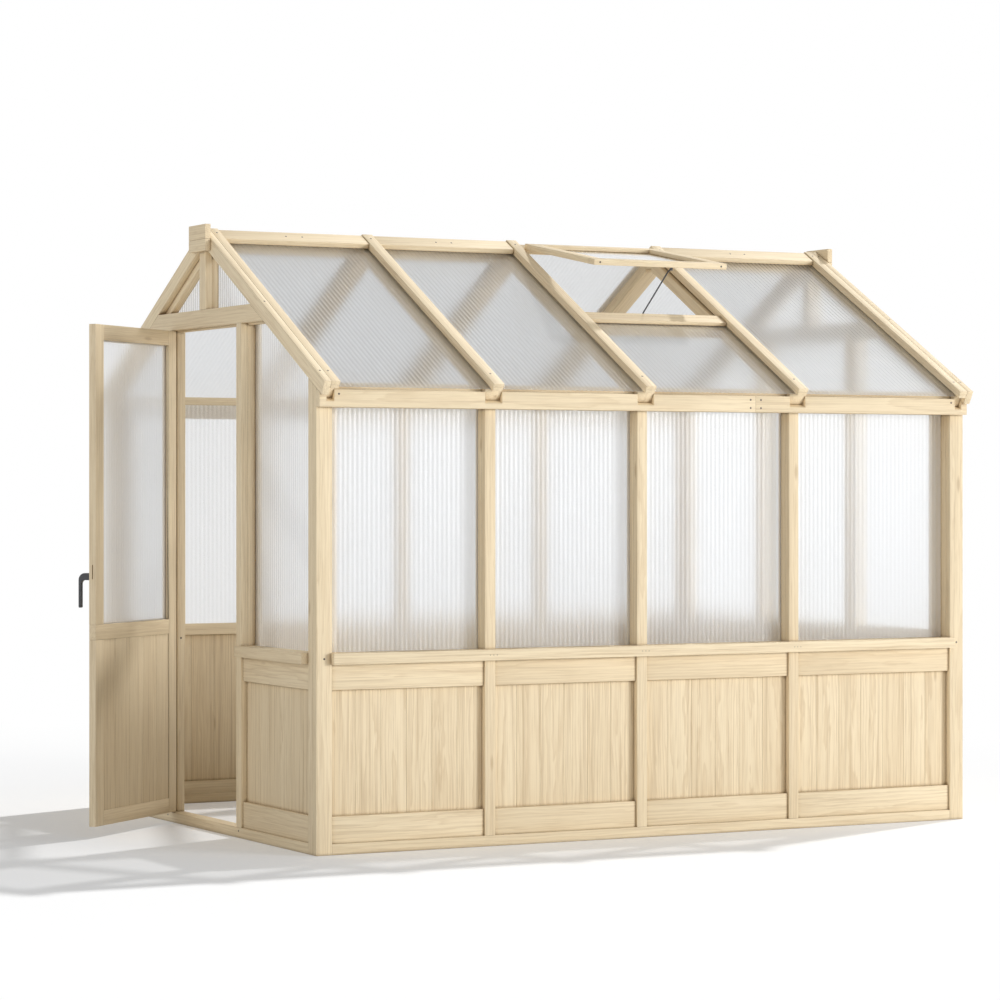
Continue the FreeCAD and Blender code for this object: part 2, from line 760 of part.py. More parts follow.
def roof_battens(name, back):
    """Cap and spacer over each rafter."""
    caps = end_spans("(outer_layer + joint_gap)", END_BATTEN) + middle_spans("batten_wide/2")
    spacers = end_spans("(outer_layer + joint_gap)", f"({END_BATTEN} - spacer_set_in)")
    spacers += middle_spans("(batten_wide/2 - spacer_set_in)")
    solids = [slope_prism(x, "joint_gap", BATTEN_END, ("0", "batten_cap"), back, "batten") for x in caps]
    for x in spacers:
        solids.append(slope_prism(x, "joint_gap", BATTEN_END, ("batten_cap", BATTEN), back, "spacer"))
    node(f"roof_battens_{name}", *solids)


def roof_sheets(name, back):
    solids = []
    for number in range(LAST_BAY + 1):
        x = house_span(*between_middles(number, "sheet_gap/2", "(outer_layer + joint_gap)"))
        under_vent = number == VENT_BAY and not back
        along = ("(trimmer_edge + joint_gap)" if under_vent else "sheet_head", SHEET_END)
        solids.append(slope_box(x, along, (BATTEN, SHEETED), back, "sheet"))
    node(f"roof_sheets_{name}", *solids)


def ridge_beam():
    """Ridge beam between the rafters' heads, in two lengths that leave out the bay of the vent."""
    end = f"({GLAZED} + joint_gap)"
    top = f"({roof_height(SHEETED, 'ridge_thick/2')} - joint_gap)"
    z = (f"({top} - ridge_deep)", top)
    across = ("(0 - ridge_thick/2)", "(ridge_thick/2)")
    near = (end, f"({stud_middle(VENT_BAY)} + rafter_wide/2)")
    far = (f"({stud_middle(VENT_BAY + 1)} - rafter_wide/2)", f"({LENGTH} - {end})")
    node("ridge_beam", *[box(house_span(*span), across, z, "ridge") for span in (near, far)])


def ridge_boards():
    """Boards along the ridge between the battens, left out where the vent is."""
    deep = ("ridge_board_drop", "(ridge_board_drop + ridge_board_thick)")
    end = f"({END_BATTEN} + joint_gap)"
    solids = []
    for number in BOARDED_RIDGE_BAYS:
        x = house_span(*between_middles(number, "(batten_wide/2 + joint_gap)", end))
        for back in (False, True):
            solids.append(slope_prism(x, "joint_gap", "ridge_board", deep, back, "ridge_board"))
    node("ridge_boards", *solids)


# Roof vent: the sash and the stay are modelled shut, about the hinge axis, and then opened

VENT_AXIS = ("vent_header", "(vent_seat - vent_axis_rise)")
VENT_Y, VENT_Z = slope_point(*VENT_AXIS, False)
VENT_TURN = "(pitch - vent_open)"
SASH_HEAD = "(vent_header + vent_knuckle + joint_gap)"
SASH_FOOT = "(trimmer_edge - vent_front_gap)"
SASH_X = house_span(
    f"({stud_middle(2)} + batten_wide/2 + vent_side_gap)",
    f"({stud_middle(3)} - batten_wide/2 - vent_side_gap)",
)
STAY_ALONG = f"({SASH_FOOT} - sash_front_rail - stay_pivot_back)"
STAY_DEEP = "(vent_seat + stay_pivot_drop)"
STAY_X = house_x(f"({stud_middle(2)} + stay_along)")
STAY_PAST_AXIS = f"({STAY_ALONG} - {VENT_AXIS[0]})"
STAY_BELOW_AXIS = f"({STAY_DEEP} - {VENT_AXIS[1]})"


def sash_box(x, along, deep, name="sash_timber"):
    """Box in the shut sash, set about the hinge axis."""
    y = (f"({VENT_AXIS[0]} - {along[1]})", f"({VENT_AXIS[0]} - {along[0]})")
    z = (f"({VENT_AXIS[1]} - {deep[1]})", f"({VENT_AXIS[1]} - {deep[0]})")
    return box(x, y, z, name)


def opened(solid):
    """Turn a piece of the vent open about the hinge axis."""
    return place(solid, ("0", VENT_Y, VENT_Z), (1, 0, 0), VENT_TURN)


def vent_opening():
    """Header, trimmer, ledge and batten round the vent."""
    x = house_span(*between_middles(VENT_BAY, "(batten_wide/2 + joint_gap)", "0"))
    beam_x = house_span(*between_middles(VENT_BAY, "(rafter_wide/2 + joint_gap)", "0"))
    header = slope_prism(x, "(2*joint_gap)", "vent_header", ("vent_seat", SHEETED), False, "header")
    ledge_edge = "(trimmer_edge - ledge_wide)"
    foot = "(trimmer_edge + trimmer_wide)"
    beam = slope_box(beam_x, (ledge_edge, foot), (SHEETED, RAFTERED), False, "trimmer")
    ledge = slope_box(x, (ledge_edge, "(trimmer_edge - joint_gap)"), ("vent_seat", SHEETED), False, "ledge")
    batten = slope_box(x, ("trimmer_edge", foot), ("batten_spacer", BATTEN), False, "batten")
    node("vent_opening_frame", header, beam, ledge, batten)


def vent_sash():
    """Frame in four rails with a sheet let in flush with its underside."""
    depth = ("(vent_seat - sash_thick)", "vent_seat")
    inner_x = grown(SASH_X, "(0 - sash_rail)")
    inner_along = (f"({SASH_HEAD} + sash_rail)", f"({SASH_FOOT} - sash_front_rail)")
    side_along = grown(inner_along, "(0 - joint_gap)")
    rails = [
        sash_box(SASH_X, (SASH_HEAD, inner_along[0]), depth),
        sash_box(SASH_X, (inner_along[1], SASH_FOOT), depth),
        sash_box((SASH_X[0], inner_x[0]), side_along, depth),
        sash_box((inner_x[1], SASH_X[1]), side_along, depth),
    ]
    room = "(rebate + joint_gap)"
    rebate_depth = ("(vent_seat - sheet_thick)", "(vent_seat + rebate)")
    rebate = sash_box(grown(inner_x, room), grown(inner_along, room), rebate_depth, "rebate")
    opened(node("sash_rails", *[cut(rail, rebate) for rail in rails]))
    sheet_depth = ("(vent_seat - sheet_thick)", "vent_seat")
    sheet = sash_box(grown(inner_x, "rebate"), grown(inner_along, "rebate"), sheet_depth, "sheet")
    opened(node("sash_sheet", sheet))


def vent_hinges():
    """Two butt hinges: the header's leaves hold the middle knuckles and the sash's the outer ones."""
    header_leaves, sash_leaves, pins = [], [], []
    third = "(vent_hinge_long/3)"
    reach = "(vent_knuckle + joint_gap)"
    bore = ("(vent_pin + pin_clearance)", "(vent_hinge_long + 2)")
    plate_deep = ("(vent_seat - leaf_thick)", "vent_seat")
    face = (f"({SASH_HEAD} - leaf_thick)", SASH_HEAD)
    clear_of_knuckle = f"({VENT_AXIS[1]} - {reach})"
    for low in (f"({SASH_X[0]} + vent_hinge_inset)", f"({SASH_X[1]} - vent_hinge_inset - vent_hinge_long)"):
        whole = (low, f"({low} + vent_hinge_long)")
        inner = (f"({low} + {third} + joint_gap)", f"({low} + 2*{third} - joint_gap)")
        outer = [(low, f"({low} + {third})"), (f"({low} + 2*{third})", whole[1])]
        plate = slope_box(whole, ("(vent_header - vent_leaf)", f"(vent_header - {reach})"), plate_deep, False, "leaf")
        bridge = slope_box(inner, (f"(vent_header - {reach})", "vent_header"), plate_deep, False, "leaf")
        knuckle = rod("vent_knuckle", f"{inner[1]} - {inner[0]}", (inner[0], VENT_Y, VENT_Z), *ALONG_X)
        hole = rod(*bore, (f"({low} - 1)", VENT_Y, VENT_Z), *ALONG_X, "bore")
        header_leaves.append(cut(fuse(plate, bridge, knuckle), hole))
        leaf = [sash_box(whole, face, ("(vent_seat - sash_thick + leaf_thick)", clear_of_knuckle), "leaf")]
        for x in outer:
            leaf.append(sash_box(x, face, (clear_of_knuckle, VENT_AXIS[1]), "leaf"))
            leaf.append(rod("vent_knuckle", f"{x[1]} - {x[0]}", (x[0], "0", "0"), *ALONG_X))
        hole = rod(*bore, (f"({low} - 1)", "0", "0"), *ALONG_X, "bore")
        sash_leaves.append(cut(fuse(*leaf), hole))
        pins.append(rod("vent_pin", "vent_hinge_long", (low, "0", "0"), *ALONG_X, "pin"))
    node("vent_header_hinge_leaves", *header_leaves)
    opened(node("sash_hinge_leaves", *sash_leaves))
    opened(node("vent_hinge_pins", *pins))


def stay_bracket():
    """Plate under the sash's front rail with an ear and the pin that the stay turns on."""
    ear = "(stay_eye_thick/2 + joint_gap)"
    ear_back = f"({ear} + leaf_thick)"
    plate_along = (f"({STAY_ALONG} + {ear})", f"({SASH_FOOT} - sash_front_rail/2)")
    plate_deep = ("vent_seat", "(vent_seat + leaf_thick)")
    plate = sash_box(grown((STAY_X, STAY_X), "bracket_wide/2"), plate_along, plate_deep, "plate")
    cheek_along = (f"({STAY_ALONG} + {ear})", f"({STAY_ALONG} + {ear_back})")
    cheek_deep = ("vent_seat", f"({STAY_DEEP} + stay_eye)")
    cheek = sash_box(grown((STAY_X, STAY_X), "stay_eye"), cheek_along, cheek_deep, "ear")
    axis_y, axis_z = f"(0 - {STAY_PAST_AXIS})", f"(0 - {STAY_BELOW_AXIS})"
    pin = rod("stay_pin", f"{ear} + {ear_back}", (STAY_X, f"({axis_y} - {ear_back})", axis_z), *ALONG_Y)
    head = rod("(stay_eye*2/3)", "leaf_thick", (STAY_X, f"({axis_y} + {ear})", axis_z), *ALONG_Y)
    opened(node("stay_bracket", fuse(plate, cheek, pin, head)))


def stay_rod():
    """Round stay with a crook under its eye, modelled upright under its pin and then leaned over."""
    radius = "(stay_thick/2)"
    out, down = "stay_crook_out", "stay_crook_down"
    below_crook = f"(stay_reach - {down})"
    crook = (f"(0 - {out})", "0", f"(0 - {down})")
    foot = ("0", "0", "(0 - stay_reach)")
    shank = rod(radius, f"sqrt({out}^2 + {below_crook}^2)", foot, (0, -1, 0), f"atan({out}/{below_crook})")
    neck = rod(radius, f"sqrt({out}^2 + {down}^2)", crook, (0, 1, 0), f"atan({out}/{down})")
    eye = rod("stay_eye", "stay_eye_thick", ("0", "(0 - stay_eye_thick/2)", "0"), *ALONG_Y)
    bore = rod("(stay_pin + pin_clearance)", "2*stay_thick", ("0", "(0 - stay_thick)", "0"), *ALONG_Y, "bore")
    stay = cut(fuse(shank, neck, ball(radius, crook), ball(radius, foot), eye), bore)
    leaned = place(group("leaned_stay", [stay]), ("0", "0", "0"), (0, 1, 0), "stay_lean")
    y = f"({VENT_Y} - {STAY_PAST_AXIS}*cos{VENT_TURN} + {STAY_BELOW_AXIS}*sin{VENT_TURN})"
    z = f"({VENT_Z} - {STAY_PAST_AXIS}*sin{VENT_TURN} - {STAY_BELOW_AXIS}*cos{VENT_TURN})"
    place(node("stay_rod", leaned), (STAY_X, y, z), (1, 0, 0), VENT_TURN)


def stay_rest_pin():
    """Pin in the edge of the ledge that the foot of the stay stands on."""
    foot_below = f"({STAY_BELOW_AXIS} + stay_reach*cos(stay_lean))"
    foot = f"({VENT_AXIS[1]} - {STAY_PAST_AXIS}*sin(vent_open) + {foot_below}*cos(vent_open))"
    under = f"({foot} + stay_thick/2 + rest_pin + joint_gap)"
    x = f"({STAY_X} - stay_reach*sin(stay_lean) + rest_pin_offset)"
    y, z = slope_point("(trimmer_edge - ledge_wide)", under, False)
    node("stay_rest_pin", rod("rest_pin", "rest_pin_long", (x, y, z), (-1, 0, 0), "(90 - pitch)", "pin"))


# Door: modelled shut about its hinge pins, and then opened

PIN_X = f"(0 - {WALL}/2 - hinge_proud)"
PIN_Y = f"({DOOR_HALF} - door_gap/2)"
DOOR = Wall("hinge_proud", 1, False)
DOOR_EDGE = "(door_gap*3/2 - doorway)"
DOOR_HINGE_EDGE = "(0 - door_gap/2)"
DOOR_LOW = "(sole_tall + door_gap)"
DOOR_TOP = "(collar_low - door_gap)"
DOOR_MID_TOP = "(door_mid_low + door_mid_rail)"
DOOR_INNER = (f"({DOOR_EDGE} + door_stile)", f"({DOOR_HINGE_EDGE} - door_stile)")
WINDOW_Z = (DOOR_MID_TOP, f"({DOOR_TOP} - door_top_rail)")
PANEL_Z = (f"({DOOR_LOW} + door_bottom_rail)", "door_mid_low")
HANDLE_Y = f"({DOOR_EDGE} + handle_inset)"
DOOR_MIDDLE = "(door_thick/2)"


def hung(solid):
    """Hang a piece of the door on its pins and swing it open."""
    return place(solid, (PIN_X, PIN_Y, "0"), (0, 0, -1), "door_open")


def door_frame():
    """Stiles and rails, rebated from outside for the sheet and the boards, and bored for the latch."""
    depth = ("0", "door_thick")
    hinge_side = (DOOR_INNER[1], DOOR_HINGE_EDGE)
    free_side = (DOOR_EDGE, DOOR_INNER[0])
    between = grown(DOOR_INNER, "(0 - joint_gap)")
    room = "(rebate + joint_gap)"
    opening = grown(DOOR_INNER, room)
    window = DOOR.box(opening, ("(0 - bead)", "(bead + sheet_thick)"), grown(WINDOW_Z, room), "rebate")
    panel = DOOR.box(opening, ("(0 - bead)", "(bead + door_board)"), grown(PANEL_Z, room), "rebate")
    mortise_z = ("(handle_tall - tongue_wide/2)", "(handle_tall + tongue_long + mortise_clearance)")
    mortise = DOOR.box(
        (f"({DOOR_EDGE} - 1)", f"({HANDLE_Y} + tongue_wide/2 + mortise_clearance)"),
        grown((DOOR_MIDDLE, DOOR_MIDDLE), "(tongue_thick/2 + mortise_clearance)"),
        grown(mortise_z, "mortise_clearance"),
        "mortise",
    )
    spindle_hole = "(spindle + spindle_clearance)"
    bore = rod(spindle_hole, f"(hinge_proud + {DOOR_MIDDLE})", ("0", HANDLE_Y, "handle_tall"), *ALONG_X, "bore")
    lower_z, upper_z = (DOOR_LOW, "(door_mid_low - joint_gap)"), (f"({DOOR_MID_TOP} + joint_gap)", DOOR_TOP)
    stiles = [
        cut(DOOR.box(hinge_side, depth, (DOOR_LOW, DOOR_TOP), "stile"), window, panel),
        cut(DOOR.box(free_side, depth, lower_z, "stile"), panel),
        cut(DOOR.box(free_side, depth, upper_z, "stile"), window, mortise, bore),
    ]
    rails = [
        cut(DOOR.box(between, depth, (DOOR_LOW, PANEL_Z[0]), "rail"), panel),
        cut(DOOR.box((DOOR_EDGE, between[1]), depth, ("door_mid_low", DOOR_MID_TOP), "rail"), window, panel),
        cut(DOOR.box(between, depth, (WINDOW_Z[1], DOOR_TOP), "rail"), window),
    ]
    hung(node("door_stiles", *stiles))
    hung(node("door_rails", *rails))


def door_filling():
    """Sheet above, boards below, and the beads that hold both from outside."""
    across = grown(DOOR_INNER, "rebate")
    sheet = DOOR.box(across, ("bead", "(bead + sheet_thick)"), grown(WINDOW_Z, "rebate"), "sheet")
    boards = DOOR.boards(across, ("bead", "(bead + door_board)"), grown(PANEL_Z, "rebate"), DOOR_BOARDS)
    hung(node("door_sheet", sheet))
    hung(node("door_boards", *boards))
    beads = []
    depth = ("0", "bead")
    near = (across[0], f"({across[0]} + bead_wide)")
    far = (f"({across[1]} - bead_wide)", across[1])
    for z in (grown(WINDOW_Z, "rebate"), grown(PANEL_Z, "rebate")):
        low = (z[0], f"({z[0]} + bead_wide)")
        high = (f"({z[1]} - bead_wide)", z[1])
        side_z = grown((low[1], high[0]), "(0 - joint_gap)")
        beads += [DOOR.box(across, depth, end, "bead") for end in (low, high)]
        beads += [DOOR.box(edge, depth, side_z, "bead") for edge in (near, far)]
    hung(node("door_beads", *beads))


def butt_leaf(side, origin, low, knuckles):
    """One leaf of a door hinge, with its knuckles; side is the way along Y that the leaf lies."""
    pin_x, pin_y = origin
    face = (f"({pin_x} + hinge_proud - leaf_thick)", f"({pin_x} + hinge_proud)")
    reach = "(hinge_knuckle + joint_gap)"

    def beside(near, far):
        span = off_middle(side, near, far)
        return f"({pin_y} + {span[0]})", f"({pin_y} + {span[1]})"

    solids = [box(face, beside(reach, "hinge_leaf"), (low, f"({low} + hinge_tall)"), "leaf")]
    for z in knuckles:
        solids.append(box(face, beside("0", reach), z, "leaf"))
        solids.append(rod("hinge_knuckle", f"{z[1]} - {z[0]}", (pin_x, pin_y, z[0]), name="knuckle"))
    bore = rod("(hinge_pin + pin_clearance)", "(hinge_tall + 2)", (pin_x, pin_y, f"({low} - 1)"), name="bore")
    return cut(fuse(*solids), bore)


def door_hinges():
    jamb_leaves, door_leaves, pins = [], [], []
    third = "(hinge_tall/3)"
    for number in range(DOOR_HINGES):
        low = f"(hinge_first + {number}*hinge_spacing)"
        inner = (f"({low} + {third} + joint_gap)", f"({low} + 2*{third} - joint_gap)")
        outer = [(low, f"({low} + {third})"), (f"({low} + 2*{third})", f"({low} + hinge_tall)")]
        jamb_leaves.append(butt_leaf(1, (PIN_X, PIN_Y), low, [inner]))
        door_leaves.append(butt_leaf(-1, ("0", "0"), low, outer))
        shaft = rod("hinge_pin", "hinge_tall", ("0", "0", low), name="pin")
        head = rod("(hinge_knuckle*4/5)", "leaf_thick", ("0", "0", f"({low} + hinge_tall)"), name="pin_head")
        pins.append(fuse(shaft, head))
    node("door_jamb_hinge_leaves", *jamb_leaves)
    hung(node("door_hinge_leaves", *door_leaves))
    hung(node("door_hinge_pins", *pins))


def handle_lever(root):
    """Neck that stands out from the door and rounds down into a thin grip."""
    y = grown((HANDLE_Y, HANDLE_Y), "grip_wide/2")
    tip = "(hinge_proud - handle_reach)"
    inner = f"({tip} + grip_thick)"
    neck_low, neck_high = "(handle_tall - neck_tall/2)", "(handle_tall + neck_tall/2)"
    grip_end = f"({neck_low} - grip_drop)"
    neck = box((f"({tip} + neck_tall)", root), y, (neck_low, neck_high), "neck")
    bend = rod("neck_tall", "grip_wide", (f"({tip} + neck_tall)", y[1], neck_low), (1, -1, 1), "120", "bend")
    bend.Angle = 90
    grip = box((tip, inner), y, (grip_end, neck_low), "grip")
    web = box((inner, f"({inner} + grip_curve)"), y, (f"({neck_low} - grip_curve)", neck_low), "web")
    scoop_at = (f"({inner} + grip_curve)", f"({y[0]} - grip_wide)", f"({neck_low} - grip_curve)")
    scoop = rod("grip_curve", "3*grip_wide", scoop_at, *ALONG_Y, "scoop")
    end = rod("grip_thick/2", "grip_wide", (f"({tip} + grip_thick/2)", y[0], grip_end), *ALONG_Y)
    return fuse(neck, bend, grip, cut(web, scoop), end)


def door_handle():
    rose_face = "(hinge_proud - rose_thick)"
    spindle_hole = "(spindle + spindle_clearance)"
    disc = rod("rose", "rose_thick", (rose_face, HANDLE_Y, "handle_tall"), *ALONG_X)
    hole = rod(spindle_hole, "3*rose_thick", ("(0 - rose_thick)", HANDLE_Y, "handle_tall"), *ALONG_X, "hole")
    hung(node("handle_rose", cut(disc, hole)))
    root = f"({rose_face} - joint_gap)"
    hung(node("handle_lever", handle_lever(root)))
    tongue_x = grown((f"(hinge_proud + {DOOR_MIDDLE})", f"(hinge_proud + {DOOR_MIDDLE})"), "tongue_thick/2")
    tongue_y = grown((HANDLE_Y, HANDLE_Y), "tongue_wide/2")
    tongue = box(tongue_x, tongue_y, ("handle_tall", "(handle_tall + tongue_long)"), "tongue")
    shaft = rod("spindle", f"({tongue_x[1]} - {root})", (root, HANDLE_Y, "handle_tall"), *ALONG_X)
    hung(node("latch_tongue", fuse(tongue, shaft)))


# Screws

def screw(at, axis, angle):
    """Screw whose head stands just proud of a face, at a point of the face."""
    head = rod("screw_head", "(screw_head_thick + screw_proud)", ("0", "0", "(0 - screw_head_thick)"))
    shank = rod("screw_shank", "screw_long", ("0", "0", "(0 - screw_long)"))
    return place(group("screw", [fuse(head, shank)]), at, axis, angle)


def roof_screw(x, along, deep, back):
    return screw((x, *slope_point(along, deep, back)), (-1, 0, 0) if back else (1, 0, 0), "pitch")


def roof_screws():
    """Screws in the barges, in the battens and in the ridge boards."""
    screws = []
    foot = f"({BATTEN_END} - ridge_board)"
    barge_lines = ["outer_layer/2", f"({LENGTH} - outer_layer/2)"]
    end_middle = "(outer_layer + joint_gap + end_batten/2)"
    batten_lines = [end_middle, f"({LENGTH} - {end_middle})"] + [stud_middle(n) for n in (1, 2, 3)]
    for back in (False, True):
        for line in barge_lines:
            for along in ("ridge_board/2", f"{BATTEN_END}/2", foot):
                screws.append(roof_screw(house_x(line), along, "0", back))
        for line in batten_lines:
            for along in ("ridge_board/2", foot):
                screws.append(roof_screw(house_x(line), along, "0", back))
        for number in BOARDED_RIDGE_BAYS:
            low, high = bay_span(number)
            for side in SIDES:
                x = house_x(f"(({low} + {high})/2 + ({side})*screw_pair/2)")
                screws.append(roof_screw(x, "ridge_board/2", "ridge_board_drop", back))
    return screws


def wall_screws():
    """Screws in the eave beams, the corner posts, the threshold and the door's stops."""
    screws = []
    for wall in (FRONT, BACK):
        outward = ((1, 0, 0), "90") if wall is FRONT else ((-1, 0, 0), "90")
        beam_face = wall.behind("(0 - beam_proud)")
        upper = f"({HEAD} + beam_tall*3/4)"
        for side in SIDES:
            x = house_x(f"(beam_splice + ({side})*screw_pair/3)")
            for z in (f"({HEAD} + beam_tall/4)", upper):
                screws.append(screw((x, beam_face, z), *outward))
        for end in ("(post_wide + screw_pair/5)", f"({LENGTH} - post_wide - screw_pair/5)"):
            screws.append(screw((house_x(end), beam_face, upper), *outward))
        for post in ("post_wide/2", f"({LENGTH} - post_wide/2)"):
            screws.append(screw((house_x(post), wall.behind("0"), f"({PANEL_TOP} + sill_tall/2)"), *outward))
    for side in SIDES:
        post = f"({side}*({DOOR_HALF} + jamb_wide/2))"
        screws.append(screw((DOOR_END.behind("0"), post, "(sole_tall*2/3)"), (0, -1, 0), "90"))
        reveal = f"({side}*({DOOR_HALF} - door_stop))"
        middle = DOOR_END.behind("(outer_layer + inner_layer/2)")
        screws.append(screw((middle, reveal, SILL_TOP), (side, 0, 0), "90"))
    return screws


def sill_nails():
    """Three nails through the sill boards into each stud of the long walls."""
    nails = []
    height = f"({PANEL_TOP} + sill_tall/2)"
    for wall in (FRONT, BACK):
        turn = (1, 0, 0) if wall is FRONT else (-1, 0, 0)
        inner_end = wall.behind("(nail_long - nail_proud - sill_proud)")
        for number in (1, 2, 3):
            for step in (-1, 0, 1):
                x = house_x(f"({stud_middle(number)} + ({step})*nail_spacing)")
                nails.append(rod("nail", "nail_long", (x, inner_end, height), turn, "90", "nail"))
    node("sill_nails", *nails)


def sash_screws():
    """Screws through the sash's front rail into its side rails."""
    middle = f"({VENT_AXIS[1]} - vent_seat + sash_thick/2)"
    lines = (f"({SASH_X[0]} + sash_rail/2)", f"({SASH_X[1]} - sash_rail/2)")
    screws = [screw((x, f"({VENT_AXIS[0]} - {SASH_FOOT})", middle), (1, 0, 0), "90") for x in lines]
    opened(node("sash_screws", *screws))


# The whole house

sole_plates()
corner_posts()
lower_walls()
window_sills()
for side_name, long_wall in LONG_WALLS.items():
    is_back = long_wall is BACK
    studs(side_name, long_wall)
    head_plates(side_name, long_wall)
    eave_beam(side_name, long_wall, is_back)
    wall_sheets(side_name, long_wall)
    rafters(side_name, is_back)
    roof_battens(side_name, is_back)
    roof_sheets(side_name, is_back)
gable_sheets("door_end", DOOR_END)
gable_sheets("rear_end", REAR_END)
cover_strips()
door_jambs()
latch_keeper()
rear_studs()
gable_collars()
king_posts()
ridge_caps()
barge_rafters()
ridge_beam()
ridge_boards()
vent_opening()
vent_sash()
vent_hinges()
stay_bracket()
stay_rod()
stay_rest_pin()
door_frame()
door_filling()
door_hinges()
door_handle()
node("frame_screws", *roof_screws(), *wall_screws())
sill_nails()
sash_screws()
doc.recompute()

# Checks, and one file for each sub-part

for feature in doc.Objects:
    if "Invalid" in feature.State or "Error" in feature.State:
        raise RuntimeError(f"{feature.Label} could not be built: {feature.State}")
for part in nodes:
    if part.Shape.isNull() or not part.Shape.isValid():
        raise RuntimeError(f"{part.Label} has no valid shape")
for part in nodes:
    part.Shape.exportStep(f"parts/{part.Label}.step")
print(len(nodes), "nodes,", sum(len(part.Shape.Solids) for part in nodes), "solids")
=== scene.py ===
# Looks of a walk-in wooden greenhouse: pale softwood timber, fluted translucent sheets, dark metal
# fittings, a white studio floor and the photograph's camera.
import bmesh
import bpy
import json
import math
import random
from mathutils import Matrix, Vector

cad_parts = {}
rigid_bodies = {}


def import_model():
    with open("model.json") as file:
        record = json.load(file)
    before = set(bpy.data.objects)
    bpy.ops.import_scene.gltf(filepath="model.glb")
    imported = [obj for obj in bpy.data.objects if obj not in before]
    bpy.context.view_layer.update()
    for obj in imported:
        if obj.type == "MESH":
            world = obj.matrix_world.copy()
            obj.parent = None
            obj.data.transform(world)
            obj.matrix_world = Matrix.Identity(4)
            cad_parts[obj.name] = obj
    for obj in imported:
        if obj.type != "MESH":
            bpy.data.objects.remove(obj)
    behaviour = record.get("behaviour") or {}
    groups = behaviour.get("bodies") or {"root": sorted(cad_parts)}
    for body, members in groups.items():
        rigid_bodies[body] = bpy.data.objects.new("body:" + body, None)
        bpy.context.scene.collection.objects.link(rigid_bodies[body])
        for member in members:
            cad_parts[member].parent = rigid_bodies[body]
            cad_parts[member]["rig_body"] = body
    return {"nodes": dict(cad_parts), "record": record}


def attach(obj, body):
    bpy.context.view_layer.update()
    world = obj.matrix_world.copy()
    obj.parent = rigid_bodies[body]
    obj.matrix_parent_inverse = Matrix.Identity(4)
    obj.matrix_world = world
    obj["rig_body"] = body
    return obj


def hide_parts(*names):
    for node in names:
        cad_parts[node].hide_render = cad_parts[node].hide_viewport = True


bpy.ops.wm.read_factory_settings(use_empty=True)
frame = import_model()
nodes = frame["nodes"]
slots = {part["node"]: part["material_slot"] for part in frame["record"]["subparts"]}
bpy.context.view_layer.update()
scene = bpy.context.scene
scene.view_settings.view_transform = "Standard"
chance = random.Random(7)

# Sizes in metres

EASED_EDGE = 0.0012
FLUTE_PITCH = 0.0165
FLUTE_DEPTH = 0.0005
SHEET_SKIN = 0.0011
# How far the painted shade between timbers reaches
PAINTED_SHADE_REACH = 0.014
LOG_LENGTH = 40
PITH_ASIDE = 0.05
PITH_NEAR = 0.025
PITH_FAR = 0.09
FLOOR_HALF = 60
FLOOR_DROP = 0.0005
FLOOR_WHITENS = (1.6, 5.0)
EDGE_INSET = 1e-7
ZERO_LENGTH = 1e-9

# Directions: up, and one that no timber has

UP = Vector((0, 0, 1))
ODD_DIRECTION = Vector((0.31, 0.83, 0.46))

# Counts, and angles in degrees

FLUTE_STEPS = 8
EASED_STEPS = 2
POINT_DIGITS = 6
FLAT_FACES = 0.5
SHARP_EDGE = 25
SMOOTH_TIMBER = 38
SMOOTH_SHEET = 50

# Grain: frequencies along, across and through a board, per metre

DRIFT = (1.1, 9, 9)
WANDER = (3.5, 26, 26)
FIBRES = (5, 240, 240)
STREAKS = (1.6, 70, 70)
KNOTS = (2.2, 9, 9)
RINGS = 150

# Grain: how far the rings drift in metres, how many rings they wander, and how late they darken

RING_DRIFT = 0.05
RING_WANDER = 2.6
LATE_WOOD = 2.6

# Grain: where each mark starts and is full, and how strongly it shows, from 0 to 1

STREAK_RANGE, STREAK_SHARE = (0.52, 0.74), 0.65
FIBRE_RANGE, FIBRE_SHARE = (0.48, 0.72), 0.4
KNOT_RANGE, KNOT_SHARE = (0.075, 0.03), 0.6
# Painted shade between timbers: where it starts and is full, and how strongly it shows
PAINTED_SHADE_RANGE, PAINTED_SHADE_SHARE = (0.72, 0.35), 0.75
TONE_SHARE = 0.3

# Sheets: ranges of slope and of viewing angle, and what changes over them

# Painted shade on sheets: the slopes over which an upward-facing sheet turns greyer
SLOPE_SHADE_RANGE = (0.2, 0.7)
ANGLE_RANGE = (0.1, 0.5)
GLOW_SHARES = (0.05, 0.40)
TILTS = (1.2, 0.1)
MILK_SHARES = (0.39, 0.32)
RIB_MILK = 0.13
BLUR_ROUGHNESS = 0.3
BLUR_IOR = 1.035
SHINE = 0.5
SHINE_ROUGHNESS = 0.25

# Metal: patches of gloss and finer wear, per metre

PATCHES = 90
WEAR = 420

# Colours as linear values

PALE_WOOD = (0.86, 0.725, 0.505)
MID_WOOD = (0.68, 0.53, 0.335)
DARK_WOOD = (0.47, 0.335, 0.19)
# Colour of the painted shade where timbers meet
JOINT_SHADE = (0.20, 0.125, 0.06)
BLACK_PAINT = (0.035, 0.036, 0.040)
ZINC = (0.52, 0.52, 0.51)
# Dark steel of the screws, darkened further as painted shade of the recesses they sit in
SCREW_STEEL_AND_RECESS_SHADE = (0.075, 0.062, 0.052)
CLEAN_SHEET = (0.97, 0.98, 0.995)
# Colour of the painted shade on upward-facing sheets
SLOPE_SHADED_SHEET = (0.50, 0.507, 0.52)
BLUR_TINT = (0.975, 0.98, 0.985)
BOUNCED_LIGHT = (0.95, 0.95, 0.95)
LAMP_LIGHT = (0.78, 0.78, 0.78)
FLOOR_GREY = (0.8, 0.8, 0.8)
WHITE = (1, 1, 1)
DOME = (0.97, 0.985, 1)

# Strength of the dome's light, and the floor's share of plain white near the object

DOME_STRENGTH = 0.38
NEAR_WHITENESS = 0.14


# Shader helpers

